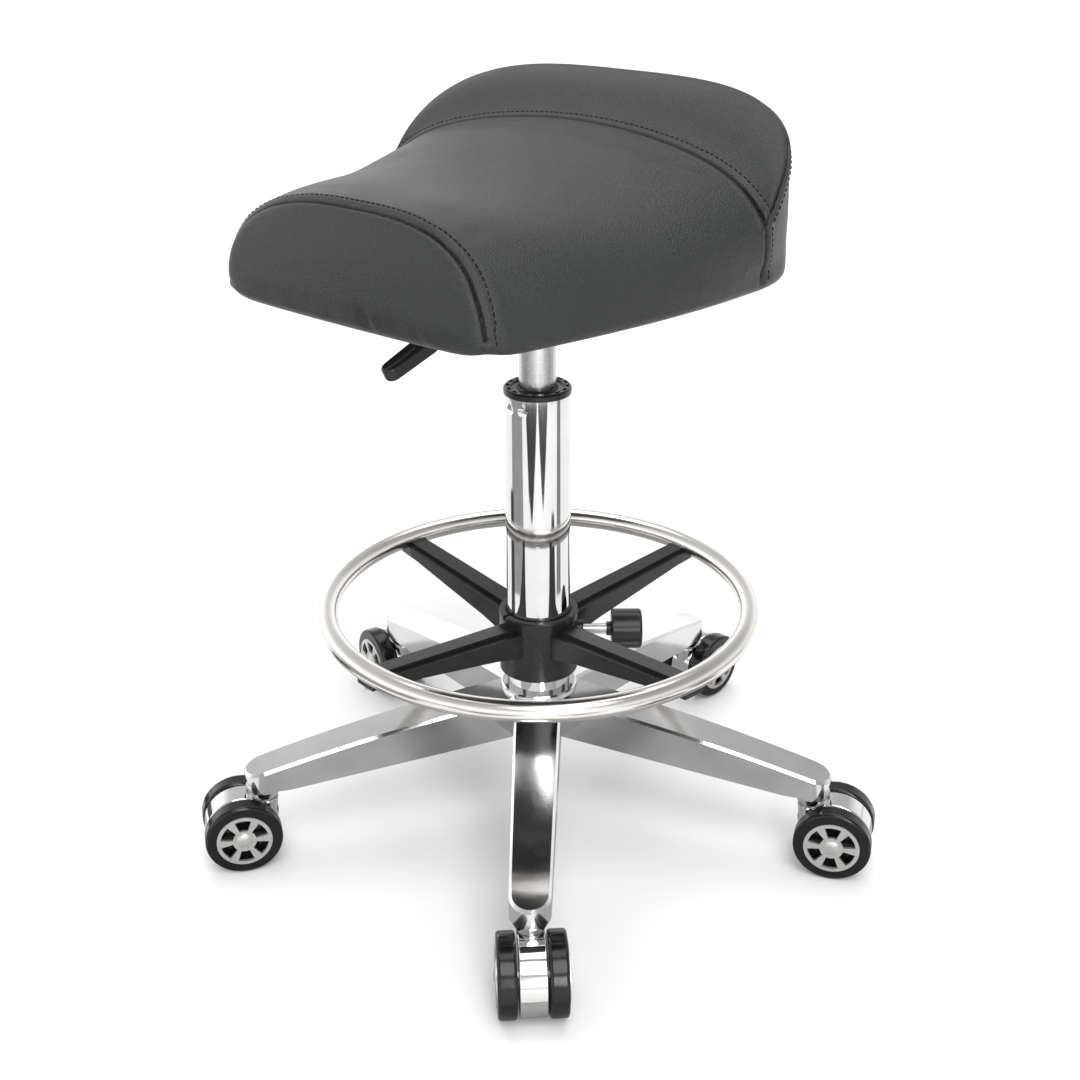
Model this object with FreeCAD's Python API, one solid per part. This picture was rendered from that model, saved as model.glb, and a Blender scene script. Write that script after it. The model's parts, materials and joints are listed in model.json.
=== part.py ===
import FreeCAD, Part
import math
import os

# Rolling stylist stool, millimetres.  Origin on the floor under the column, +Z up.
# The seat faces forward along FRONT; its rear lip is on the opposite side.

V = FreeCAD.Vector
os.makedirs("parts", exist_ok=True)

RUN = 0.05                      # radial running clearance of turning and sliding fits
SOFT_GAP = 0.4                  # clearance round soft and curved faces

# ---- star base --------------------------------------------------------------
ARM_COUNT = 5
ARM_FIRST = -88.14              # direction of the first arm, degrees from +X
CASTER_RADIUS = 225.9           # column axis to caster stem
HUB_BOTTOM = 78.0
HUB_TOP = 121.0
HUB_FOOT_R = 27.0               # lower round of the hub
HUB_TOP_R = 30.5
ARM_ROOT_HALF = 19.0            # half width of an arm at the hub
ARM_END_HALF = 14.75
ARM_END_TOP = 79.5
ARM_END_UNDER = 64.0
BOSS_BOTTOM = 54.5
BOSS_FOOT_R = 10.4
BOSS_R = 13.6
ARM_WALL = 4.0

# ---- gas column -------------------------------------------------------------
TUBE_R = 25.0
TUBE_WALL = 1.8
TUBE_FOOT = 80.0
TUBE_FOOT_R = 23.75
TUBE_TOP = 366.4
COLLAR_TOP = 371.3
COLLAR_R = 25.5
BUSH_BOTTOM = 286.0
CYLINDER_R = 14.0
CYLINDER_BOTTOM = 140.0
TAPER_START = 412.0
CYLINDER_TOP = 450.0
TAPER_TOP_R = 13.3
CHAMBER_R = 12.3
CHAMBER_TOP = 398.0
ROD_R = 5.0
ROD_BOTTOM = 75.0
PISTON_BOTTOM = 285.0
PISTON_TOP = 296.0
PIN_R = 3.9
PIN_BOTTOM = 432.4
PIN_TOP = 454.0

# ---- foot ring --------------------------------------------------------------
RING_R = 165.4
RING_TUBE_R = 8.0
RING_Z = 191.2
SPIDER_R = 31.0
SPIDER_BOTTOM = 134.8
SPIDER_TOP = 182.5
SLEEVE_R = 27.8
SLEEVE_FLANGE_R = 31.4
SLEEVE_TOP = 186.4
SPIDER_ANGLES = (45.0, 135.0, 225.0, 315.0)
SPOKE_ROOT_HALF = 13.0          # half width of a spoke at the hub
SPOKE_END_HALF = 10.8
CLAMP_Z = 166.5
CLAMP_TURN = 4.0                # direction of the clamp screw, degrees from +X

# ---- casters ----------------------------------------------------------------
WHEEL_R = 30.0
WHEEL_INNER = 11.0              # half gap between the twin wheels
WHEEL_OUTER = 24.5
TREAD_R = 25.4
CAP_R = 21.5
TRAIL = 20.0                    # stem axis to wheel axle
HOOD_R = 28.8
HOOD_HALF = 9.8
HOOD_BOTTOM = 10.0
CONE_TOP = 53.0
STEM_R = 5.5
AXLE_R = 4.0
AXLE_HALF = 22.7
BOSS_ROOM_R = 14.3              # clearance in the hood round the boss of the arm
# direction each caster trails, in the order of the arms, degrees from +X
CASTER_HEADINGS = (-83.1, -11.8, 50.0, 125.0, 198.1)

# ---- seat -------------------------------------------------------------------
SEAT_BACK = 53.84               # direction from the column to the rear lip
SEAT_BOTTOM = 463.8
FRONT_S = -184.0                # along the seat, minus is forward
FRONT_HALF = 113.3
FRONT_HIGH = 71.3
JOIN_S = 30.0                   # where the sitting area meets the rear lip
JOIN_HALF = 173.5
JOIN_HIGH = 93.0                # height of the sitting area there, on the centre line
CREST_S = 105.3
CREST_HIGH = 122.3
BACK_FOOT = 122.0               # rearmost point of the underside
BOARD_BOTTOM = 466.0
BOARD_THICK = 12.0
PLATE_TOP = 465.0
PLATE_THICK = 2.5
PAN_BOTTOM = 438.0
PAN_LONG = 52.0
PAN_WIDE = 38.0
BOLT_LONG = 66.0
BOLT_WIDE = 56.0

# ---- height lever -----------------------------------------------------------
LEVER_AT = 223.0                # direction of the lever, degrees from +X
LEVER_Z = 458.3
LEVER_R = 4.0
LEVER_PIVOT = 38.0
PADDLE_FROM = 86.0
PADDLE_TIP = 134.0
PADDLE_ROOT_HALF = 6.4
PADDLE_TIP_HALF = 6.8
PADDLE_THICK = 10.4
PADDLE_SLOPE = 23.3             # droop of the paddle, degrees
PADDLE_LINE_Z = 465.2           # height of the paddle's centre line at the column axis


def save(name, shape):
    """Write one node to its own STEP file."""
    shape.exportStep("parts/" + name + ".step")


def spot(radius, degrees, z=0.0):
    """Point at a radius and direction from the column."""
    a = math.radians(degrees)
    return V(radius * math.cos(a), radius * math.sin(a), z)


def turned(shape, degrees):
    """Copy turned about the column axis."""
    s = shape.copy()
    s.rotate(V(0, 0, 0), V(0, 0, 1), degrees)
    return s


def moved(shape, offset):
    """Copy moved by an offset."""
    s = shape.copy()
    s.translate(offset)
    return s


def drum(r, z0, z1, at=V(0, 0, 0)):
    """Upright cylinder."""
    return Part.makeCylinder(r, z1 - z0, V(at.x, at.y, z0), V(0, 0, 1))


def bar(r, start, end):
    """Cylinder between two points."""
    d = end - start
    return Part.makeCylinder(r, d.Length, start, d)


def block(x0, x1, y0, y1, z0, z1):
    """Box from limits."""
    return Part.makeBox(x1 - x0, y1 - y0, z1 - z0, V(x0, y0, z0))


def lathe(points, at=V(0, 0, 0)):
    """Solid of revolution about Z from (radius, z) points."""
    loop = [V(r, 0, z) for r, z in points]
    face = Part.Face(Part.makePolygon(loop + [loop[0]]))
    return moved(face.revolve(V(0, 0, 0), V(0, 0, 1), 360), V(at.x, at.y, 0))


def slab(points, z0, z1):
    """Upright prism from (x, y) points."""
    loop = [V(x, y, z0) for x, y in points]
    return Part.Face(Part.makePolygon(loop + [loop[0]])).extrude(V(0, 0, z1 - z0))


def wall(points, half):
    """Prism from (x, z) points, symmetric across the XZ plane."""
    loop = [V(x, -half, z) for x, z in points]
    return Part.Face(Part.makePolygon(loop + [loop[0]])).extrude(V(0, 2 * half, 0))


def edges_where(shape, test):
    """Edges whose middle point passes a test."""
    found = []
    for e in shape.Edges:
        p = e.valueAt((e.FirstParameter + e.LastParameter) / 2)
        if test(p):
            found.append(e)
    return found


# ==== star base ==============================================================
def arm_side(inset):
    """Side outline of an arm, (radius, z), drawn in by an inset."""
    end = CASTER_RADIUS + ARM_END_HALF + 4
    top_mid = (130.0, 102.0 - inset)
    top = Part.Arc(V(10, 0, 118.5 - inset), V(top_mid[0], 0, top_mid[1]),
                   V(end, 0, ARM_END_TOP - 2.0 - inset)).toShape()
    low = ARM_END_UNDER - (40 if inset else 0)
    lines = [Part.makeLine(V(end, 0, ARM_END_TOP - 2.0 - inset), V(end, 0, low)),
             Part.makeLine(V(end, 0, low), V(206, 0, low)),
             Part.makeLine(V(206, 0, low), V(10, 0, 84.0 - (60 if inset else 0))),
             Part.makeLine(V(10, 0, 84.0 - (60 if inset else 0)), V(10, 0, 118.5 - inset))]
    return Part.Face(Part.Wire([top] + lines))


def arm_plan(inset, start, z0, z1):
    """Plan of an arm: straight sides that close in to a round end."""
    a = ARM_ROOT_HALF - inset
    b = ARM_END_HALF - inset
    c = CASTER_RADIUS if not inset else CASTER_RADIUS - BOSS_R - b
    arc = Part.Arc(V(c, b, z0), V(c + b, 0, z0), V(c, -b, z0)).toShape()
    wire = Part.Wire([Part.makeLine(V(start, a, z0), V(c, b, z0)), arc,
                      Part.makeLine(V(c, -b, z0), V(start, -a, z0)),
                      Part.makeLine(V(start, -a, z0), V(start, a, z0))])
    return Part.Face(wire).extrude(V(0, 0, z1 - z0))


def make_arm():
    """One arm along +X with its caster boss, bevelled along the top."""
    side = arm_side(0)
    side.translate(V(0, -40, 0))
    arm = side.extrude(V(0, 80, 0)).common(arm_plan(0, 12, 50, 130))
    bevel = edges_where(arm, lambda p: p.z > 76 and p.x > 14)
    arm = arm.makeChamfer(2.0, bevel)
    inner = arm_side(5.0)
    inner.translate(V(0, -40, 0))
    hollow = inner.extrude(V(0, 80, 0)).common(arm_plan(ARM_WALL, 34, 20, 130))
    arm = arm.cut(hollow)
    rib = block(34, 200, -1.5, 1.5, 76, 92)
    rib = rib.common(side.extrude(V(0, 80, 0)))
    at = V(CASTER_RADIUS, 0, 0)
    boss = lathe([(0, BOSS_BOTTOM), (BOSS_FOOT_R - 0.6, BOSS_BOTTOM), (BOSS_FOOT_R, BOSS_BOTTOM + 0.6),
                  (BOSS_FOOT_R + 1.6, 58.5), (BOSS_R, 61.8), (BOSS_R, 74), (0, 74)], at)
    return arm.fuse([rib, boss])


def make_base():
    """Five arms and the hub, with the tapered bore and the stem sockets."""
    arm = make_arm()
    body = [turned(arm, ARM_FIRST + k * 360.0 / ARM_COUNT) for k in range(ARM_COUNT)]
    hub = lathe([(0, HUB_BOTTOM), (HUB_FOOT_R - 1, HUB_BOTTOM), (HUB_FOOT_R, HUB_BOTTOM + 1),
                 (HUB_FOOT_R, 90), (34, 97), (34, 108), (HUB_TOP_R + 0.5, 112),
                 (HUB_TOP_R, HUB_TOP - 1.2), (HUB_TOP_R - 1.2, HUB_TOP), (0, HUB_TOP)])
    body = hub.fuse(body)
    bore = lathe([(0, HUB_BOTTOM - 1), (TUBE_FOOT_R - 0.03 + RUN, HUB_BOTTOM - 1),
                  (TUBE_FOOT_R - 0.03 + RUN, TUBE_FOOT), (TUBE_R + RUN, HUB_TOP),
                  (TUBE_R + RUN, HUB_TOP + 5), (0, HUB_TOP + 5)])
    cuts = [bore]
    for k in range(ARM_COUNT):
        at = spot(CASTER_RADIUS, ARM_FIRST + k * 360.0 / ARM_COUNT)
        cuts.append(drum(STEM_R + RUN, BOSS_BOTTOM - 1, 74.5, at))
    return body.cut(cuts).removeSplitter()


save("star_base", make_base())

# ==== gas column =============================================================
def make_tube():
    """Outer tube: taper at the foot, closed by a plate, two crimps near the top."""
    bore = TUBE_R - TUBE_WALL
    tube = lathe([(5.08, TUBE_FOOT), (TUBE_FOOT_R, TUBE_FOOT), (TUBE_R, HUB_TOP), (TUBE_R, TUBE_TOP),
                  (bore, TUBE_TOP), (bore, HUB_TOP + 4), (TUBE_FOOT_R - TUBE_WALL, 84), (5.08, 84)])
    for a in (-113.0, -140.0):
        tube = tube.cut(Part.makeSphere(8.0, spot(TUBE_R + 6.7, a, TUBE_TOP - 8.5)))
    return tube


def make_bush():
    """Plastic guide bush with its flanged collar and a ring of slots."""
    r = TUBE_R - TUBE_WALL - RUN
    b = CYLINDER_R + RUN
    bush = lathe([(b, BUSH_BOTTOM), (r, BUSH_BOTTOM), (r, TUBE_TOP), (COLLAR_R, TUBE_TOP),
                  (COLLAR_R, COLLAR_TOP - 1.2), (COLLAR_R - 1.2, COLLAR_TOP), (20.6, COLLAR_TOP),
                  (19.8, COLLAR_TOP - 1.4), (15.6, COLLAR_TOP - 1.4), (14.8, COLLAR_TOP),
                  (14.6, COLLAR_TOP), (14.6, COLLAR_TOP - 3), (b, COLLAR_TOP - 3)])
    slots = []
    for k in range(16):
        cut = block(21.0, 23.4, -2.6, 2.6, COLLAR_TOP - 1.6, COLLAR_TOP + 1)
        slots.append(turned(cut, k * 22.5))
    return bush.cut(slots)


def make_cylinder():
    """Pressure cylinder with its tapered head and the bore of the release pin."""
    head = lathe([(ROD_R + RUN, CYLINDER_BOTTOM), (CYLINDER_R - 0.8, CYLINDER_BOTTOM),
                  (CYLINDER_R, CYLINDER_BOTTOM + 0.8), (CYLINDER_R, TAPER_START),
                  (TAPER_TOP_R, CYLINDER_TOP), (PIN_R + RUN, CYLINDER_TOP), (PIN_R + RUN, 427),
                  (0.6, 427), (0.6, CHAMBER_TOP), (CHAMBER_R, CHAMBER_TOP),
                  (CHAMBER_R, CYLINDER_BOTTOM + 10), (ROD_R + RUN, CYLINDER_BOTTOM + 10)])
    return head


save("column_tube", make_tube())
save("guide_bush", make_bush())
save("gas_cylinder", make_cylinder())
save("piston_rod", lathe([(0, ROD_BOTTOM), (ROD_R - 0.6, ROD_BOTTOM), (ROD_R, ROD_BOTTOM + 0.6),
                          (ROD_R, 90.1), (8, 90.1), (8, 93.5), (ROD_R, 93.5), (ROD_R, PISTON_BOTTOM),
                          (CHAMBER_R - 0.08, PISTON_BOTTOM), (CHAMBER_R - 0.08, PISTON_TOP),
                          (0, PISTON_TOP)]))
save("release_pin", lathe([(0, PIN_BOTTOM), (PIN_R, PIN_BOTTOM), (PIN_R, PIN_TOP - 0.8),
                           (PIN_R - 0.8, PIN_TOP), (0, PIN_TOP)]))
washers = [drum(11, z, z + 1.8).cut(drum(ROD_R + 0.08, z - 1, z + 3)) for z in (84.0, 88.1)]
balls = [Part.makeSphere(1.1, spot(8.2, k * 36.0, 86.95)) for k in range(10)]
save("thrust_bearing", Part.makeCompound(washers + balls))
clip = drum(8.5, 77.4, 79.6).cut(drum(ROD_R + 0.02, 77, 80))
save("column_clip", clip.cut(block(0, 12, -2.5, 2.5, 77, 80)))


# ==== foot ring ==============================================================
def ring_screw_holes():
    """Holes of the screws that hold the ring to the spokes, drilled from below."""
    return [drum(2.02, 170, 188.2, spot(RING_R - 1, a)) for a in SPIDER_ANGLES]


def make_spider_arm():
    """One spoke along +X: deep at the hub, a raised rib on top, hooked under the ring."""
    reach = RING_R + 3.0
    side = [(26, 175.8), (reach, 188.5), (reach, 179.5), (150, 179.0), (125, 174.6), (54, 162), (26, 155)]
    flank = [(24, SPOKE_ROOT_HALF), (RING_R - 12, SPOKE_END_HALF), (reach, SPOKE_END_HALF - 1.6)]
    plan = slab(flank + [(x, -y) for x, y in reversed(flank)], 140, 200)
    deep = wall(side, SPOKE_ROOT_HALF + 1).common(plan)
    rib = wall([(26, 179.0), (reach - 3, 191.0), (reach - 3, 186), (26, 172)], 6.2)
    ring = Part.makeTorus(RING_R, RING_TUBE_R + 0.03, V(0, 0, RING_Z), V(0, 0, 1))
    over = drum(RING_R + 30, RING_Z - 3, RING_Z + 20).cut(drum(RING_R - 2, 100, 300))
    return deep.fuse(rib).cut([ring, over])


def make_spider():
    """Plastic hub with four spokes and the boss of the clamp screw."""
    arm = make_spider_arm()
    hub = drum(SPIDER_R, SPIDER_BOTTOM, SPIDER_TOP)
    boss = turned(Part.makeCylinder(8.0, 8.0, V(27.5, 0, CLAMP_Z), V(1, 0, 0)), CLAMP_TURN)
    body = hub.fuse([turned(arm, a) for a in SPIDER_ANGLES] + [boss])
    screw = turned(Part.makeCylinder(4.0 + RUN, 30.0, V(20, 0, CLAMP_Z), V(1, 0, 0)), CLAMP_TURN)
    return body.cut([drum(SLEEVE_R + RUN, 100, 200), screw] + ring_screw_holes()).removeSplitter()


def make_sleeve():
    """Split lining between the column and the spider hub, with a flange on top."""
    sleeve = lathe([(TUBE_R + 0.08, SPIDER_BOTTOM + 0.5), (SLEEVE_R, SPIDER_BOTTOM + 0.5),
                    (SLEEVE_R, SPIDER_TOP + 0.1), (SLEEVE_FLANGE_R, SPIDER_TOP + 0.1),
                    (SLEEVE_FLANGE_R, SLEEVE_TOP - 1), (SLEEVE_FLANGE_R - 1, SLEEVE_TOP),
                    (26.6, SLEEVE_TOP), (TUBE_R + 0.08, SLEEVE_TOP - 1.6)])
    split = turned(block(20, 35, -1.5, 1.5, 130, 190), 214.0)
    return sleeve.cut(split)


def make_knob():
    """Round hand knob with a neck, along +X."""
    x = lambda a: V(a, 0, CLAMP_Z)
    out = V(1, 0, 0)
    neck = Part.makeCylinder(5.6, 4.0, x(54.0), out)
    head = Part.makeCylinder(15.8, 24.0, x(58.0), out)
    head = head.makeFillet(2.5, [e for e in head.Edges if abs(e.CenterOfMass.x - 82.0) < 0.1
                                 and e.Length > 50])
    head = head.makeFillet(1.0, [e for e in head.Edges if abs(e.CenterOfMass.x - 58.0) < 0.1
                                 and e.Length > 50])
    knob = head.fuse(neck)
    knob = knob.cut(Part.makeCylinder(4.0 + 0.02, 20.0, x(53.0), out))
    return turned(knob, CLAMP_TURN)


ring = Part.makeTorus(RING_R, RING_TUBE_R, V(0, 0, RING_Z), V(0, 0, 1))
save("foot_ring", ring.cut(ring_screw_holes()))
save("ring_spider", make_spider())
save("clamp_sleeve", make_sleeve())
stud = Part.makeCylinder(4.0, 72.5 - 28.2, V(28.2, 0, CLAMP_Z), V(1, 0, 0))
save("clamp_stud", turned(stud, CLAMP_TURN))
save("clamp_knob", make_knob())
screws = []
for angle in SPIDER_ANGLES:
    at = spot(RING_R - 1, angle)
    screws.append(drum(3.6, 177.0, 179.1, at).fuse(drum(2.0, 179.1, 188.0, at)))
save("ring_screws", Part.makeCompound(screws))


# ==== casters ================================================================
def make_caster(index):
    """The five moving pieces of one caster, and its stem."""
    at = spot(CASTER_RADIUS, ARM_FIRST + index * 360.0 / ARM_COUNT)
    heading = CASTER_HEADINGS[index]

    def placed(shape):
        return moved(turned(shape, heading), at)

    def across(r, y0, y1):
        return Part.makeCylinder(r, y1 - y0, V(TRAIL, y0, WHEEL_R), V(0, 1, 0))

    hood = across(HOOD_R, -HOOD_HALF, HOOD_HALF)
    hood = hood.makeFillet(1.2, [e for e in hood.Edges if e.Length > 100])
    cone = lathe([(0, 12), (6.6, 12), (7.2, 30), (10.0, 51.5), (9.6, CONE_TOP), (0, CONE_TOP)])
    housing = hood.fuse(cone).cut([block(-60, 80, -30, 30, -5, HOOD_BOTTOM), across(AXLE_R + 0.02, -12, 12),
                                   drum(STEM_R + RUN, 22, 60), drum(BOSS_ROOM_R, CONE_TOP, 80)])
    axle = across(AXLE_R, -AXLE_HALF, AXLE_HALF)
    out = {"housing": placed(housing.removeSplitter()), "axle": placed(axle)}
    for name, sign in (("left", 1), ("right", -1)):
        def ring(r, a, b):
            return across(r, min(sign * a, sign * b), max(sign * a, sign * b))
        core = ring(TREAD_R, WHEEL_INNER, WHEEL_OUTER).cut([ring(AXLE_R + RUN, 5, 30),
                                                            ring(CAP_R + 0.1, WHEEL_OUTER - 1.5, 30),
                                                            ring(19.5, WHEEL_OUTER - 6.5, 30)])
        core = core.fuse(ring(7.0, WHEEL_OUTER - 8, WHEEL_OUTER - 2.0).cut(ring(AXLE_R + RUN, 5, 30)))
        tread = ring(WHEEL_R, WHEEL_INNER, WHEEL_OUTER)
        tread = tread.makeFillet(2.4, [e for e in tread.Edges if e.Length > 100])
        tread = tread.cut(ring(TREAD_R + 0.02, 5, 30))
        out["wheel_" + name] = placed(Part.makeCompound([core, tread]))
        cap = ring(CAP_R, WHEEL_OUTER - 1.4, WHEEL_OUTER + 0.9)
        windows = []
        for k in range(6):
            piece = ring(18.6, WHEEL_OUTER - 3, WHEEL_OUTER + 3).cut(ring(9.2, 5, 30))
            wedge = Part.Face(Part.makePolygon([V(TRAIL, 0, WHEEL_R), V(TRAIL + 40, 0, WHEEL_R - 14.5),
                                                V(TRAIL + 40, 0, WHEEL_R + 14.5), V(TRAIL, 0, WHEEL_R)]))
            wedge = wedge.extrude(V(0, sign * 40, 0))
            wedge.rotate(V(TRAIL, 0, WHEEL_R), V(0, 1, 0), 60 * k + 30)
            windows.append(piece.common(wedge))
        cap = cap.cut(windows)
        dome = Part.makeSphere(14.0, V(TRAIL, sign * (WHEEL_OUTER - 11.6), WHEEL_R))
        dome = dome.common(ring(7.6, WHEEL_OUTER - 0.5, WHEEL_OUTER + 5))
        cap = cap.fuse(dome)
        out["hubcap_" + name] = placed(cap)
    stem = lathe([(0, 24), (STEM_R, 24), (STEM_R, 53.2), (9.0, 53.2), (9.0, 54.4), (STEM_R, 54.4),
                  (STEM_R, 72), (0, 72)], at)
    return out, stem


stems = []
for index in range(ARM_COUNT):
    pieces, stem = make_caster(index)
    stems.append(stem)
    for name, shape in pieces.items():
        save("caster_%d_%s" % (index + 1, name), shape)
save("caster_stems", Part.makeCompound(stems))


# ==== seat ===================================================================
def seat_place(shape):
    """Seat pieces are drawn with +X to the rear, then turned to their direction."""
    return turned(shape, SEAT_BACK)


def seat_half(s):
    """Half width of the seat at a station along it."""
    if s < FRONT_S:
        return FRONT_HALF - 13.0 * ((FRONT_S - s) / 9.0) ** 2
    if s < JOIN_S:
        t = (s - FRONT_S) / (JOIN_S - FRONT_S)
        return FRONT_HALF + (JOIN_HALF - FRONT_HALF) * (1.45 * t - 0.45 * t * t)
    return JOIN_HALF * (1.0 - ((s - JOIN_S) / (BACK_FOOT - JOIN_S + 0.5)) ** 2.6) ** (1 / 3.3)


def seat_high(s):
    """Height of the seat's centre line above its underside."""
    if s < FRONT_S:
        return FRONT_HIGH - 13.0 * ((FRONT_S - s) / 9.0) ** 2
    if s < JOIN_S:
        t = (s - FRONT_S) / (JOIN_S - FRONT_S)
        return FRONT_HIGH + (JOIN_HIGH - FRONT_HIGH) * t - 52.0 * t * t * (1 - t)
    if s < CREST_S:
        t = (s - JOIN_S) / (CREST_S - JOIN_S)
        return JOIN_HIGH + (CREST_HIGH - JOIN_HIGH) * t * t * (3 - 2 * t)
    return CREST_HIGH - (CREST_HIGH - 12.0) * (s - CREST_S) / (BACK_FOOT - CREST_S)


def seat_section(s, inset):
    """Closed outline of the seat across its length: flat below, crowned above."""
    half = seat_half(s) - inset
    high = seat_high(s) - inset
    top = []
    for k in range(25):
        a = math.pi * k / 24.0
        c = math.cos(a)
        w = half * math.copysign(abs(c) ** (2 / 2.9), c)
        top.append(V(s, w, SEAT_BOTTOM + 5 + (high - 5) * abs(math.sin(a)) ** (2 / 2.4)))
    curve = Part.BSplineCurve()
    curve.interpolate(top)
    low_w = half - 5
    a = V(s, low_w, SEAT_BOTTOM + inset)
    b = V(s, -low_w, SEAT_BOTTOM + inset)
    return Part.Wire([curve.toShape(), Part.makeLine(top[-1], b), Part.makeLine(b, a),
                      Part.makeLine(a, top[0])])


def seat_form(inset):
    """Solid of the whole cushion, drawn in by an inset."""
    stations = [-193 + inset, -190.5 + inset, -187, FRONT_S, -165, -140, -115, -90, -65, -40, -15,
                10, JOIN_S, 45, 60, 75, 90, 100, CREST_S, 111, 116, BACK_FOOT - 1 - inset]
    return Part.makeLoft([seat_section(s, inset) for s in stations], True, True)


def board_outline(inset, z0, z1):
    """Prism with the plan of the plywood board."""
    pts = [(-168 + inset, 96 - inset), (28, 150 - inset), (62, 138 - inset), (88 - inset, 96 - inset)]
    loop = pts + [(x, -y) for x, y in reversed(pts)]
    prism = slab(loop, z0, z1)
    corners = [e for e in prism.Edges if abs(e.Vertexes[0].Z - e.Vertexes[-1].Z) > 0.5]
    return prism.makeFillet(18.0, corners)


def bolt_spots():
    """The four bolt positions of the mechanism plate, in seat axes."""
    return [V(x, y, 0) for x in (-BOLT_LONG, BOLT_LONG) for y in (-BOLT_WIDE, BOLT_WIDE)]


pocket = board_outline(-SOFT_GAP, SEAT_BOTTOM - 5, 480.2)
outer = seat_form(0.0)
inner = seat_form(2.0)
cover = outer.cut([inner, pocket])
foam = seat_form(2.4).cut(pocket)
save("seat_cover", seat_place(cover))
save("seat_foam", seat_place(foam))

board = board_outline(0, BOARD_BOTTOM, BOARD_BOTTOM + BOARD_THICK)
board = board.cut([drum(4.6, 460, 480, p) for p in bolt_spots()])
save("seat_board", seat_place(board))
dust = board_outline(0, PLATE_TOP, BOARD_BOTTOM)
dust = dust.cut([drum(5.0, 460, 480, p) for p in bolt_spots()])
save("dust_cover", seat_place(dust))

lever_turn = LEVER_AT - SEAT_BACK


def make_plate():
    """Pressed mechanism plate: a flange with a pan, a lever slot and two pivot ears."""
    pan = block(-PAN_LONG, PAN_LONG, -PAN_WIDE, PAN_WIDE, PAN_BOTTOM, PLATE_TOP)
    pan = pan.makeFillet(8.0, [e for e in pan.Edges if abs(e.Vertexes[0].Z - e.Vertexes[-1].Z) > 5])
    pan = pan.makeFillet(3.0, [e for e in pan.Edges if abs(e.BoundBox.ZMax - PAN_BOTTOM) < 0.1])
    flange = block(-80, 80, -70, 70, PLATE_TOP - PLATE_THICK, PLATE_TOP)
    flange = flange.makeFillet(14.0, [e for e in flange.Edges
                                      if abs(e.Vertexes[0].Z - e.Vertexes[-1].Z) > 1])
    room = block(-PAN_LONG + PLATE_THICK, PAN_LONG - PLATE_THICK, -PAN_WIDE + PLATE_THICK,
                 PAN_WIDE - PLATE_THICK, PAN_BOTTOM + PLATE_THICK, PLATE_TOP + 5)
    room = room.makeFillet(5.5, [e for e in room.Edges if abs(e.Vertexes[0].Z - e.Vertexes[-1].Z) > 5])
    body = pan.fuse(flange).cut(room)
    ears = [block(32, 44, y, y + 2.5, PAN_BOTTOM + 2, LEVER_Z + 4) for y in (-10.0, 7.5)]
    ears = [turned(e, lever_turn) for e in ears]
    body = body.fuse(ears)
    slot = turned(block(44.5, 70, -7, 7, LEVER_Z - 13.5, PLATE_TOP - PLATE_THICK - 0.5), lever_turn)
    pin = turned(Part.makeCylinder(2.0 + 0.02, 30, V(LEVER_PIVOT, -15, LEVER_Z), V(0, 1, 0)), lever_turn)
    holes = [drum(3.3, 455, 470, p) for p in bolt_spots()]
    return body.cut([slot, pin, drum(19.05, 430, 445)] + holes)


save("mechanism_plate", seat_place(make_plate()))
save("taper_socket", lathe([(CYLINDER_R + 0.03, TAPER_START), (18.2, TAPER_START),
                            (19.0, TAPER_START + 0.8), (19.0, CYLINDER_TOP - 4),
                            (TAPER_TOP_R + 0.104, CYLINDER_TOP - 4)]))
bolts = []
nuts = []
for p in bolt_spots():
    hexagon = Part.makePolygon([V(p.x + 5.6 * math.cos(math.radians(60 * k)),
                                  p.y + 5.6 * math.sin(math.radians(60 * k)), 458.4) for k in range(7)])
    head = Part.Face(hexagon).extrude(V(0, 0, 4.0))
    bolts.append(head.fuse(drum(2.95, 462.4, 476, p)))
    barrel = drum(4.5, 468.5, 478.1, p).fuse(drum(9.0, 478.1, 479.4, p))
    nuts.append(barrel.cut(drum(3.0, 460, 490, p)))
save("plate_bolts", seat_place(Part.makeCompound(bolts)))
save("tee_nuts", seat_place(Part.makeCompound(nuts)))


# ==== height lever ===========================================================
def make_lever():
    """Bent rod of the height lever with the boss of its pivot, along +X."""
    def on_line(r):
        return V(r, 0, PADDLE_LINE_Z - r * math.tan(math.radians(PADDLE_SLOPE)))
    path = [V(-6.5, 0, LEVER_Z), V(LEVER_PIVOT + 3, 0, LEVER_Z), V(58, 0, LEVER_Z - 9),
            on_line(PADDLE_FROM - 3), on_line(118)]
    rod = bar(LEVER_R, path[0], path[1])
    for a, b in zip(path[1:-1], path[2:]):
        rod = rod.fuse([Part.makeSphere(LEVER_R, a), bar(LEVER_R, a, b)])
    boss = Part.makeCylinder(5.2, 13.0, V(LEVER_PIVOT, -6.5, LEVER_Z), V(0, 1, 0))
    hole = Part.makeCylinder(2.0 + RUN, 20.0, V(LEVER_PIVOT, -10, LEVER_Z), V(0, 1, 0))
    return rod.fuse(boss).cut(hole).removeSplitter()


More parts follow.
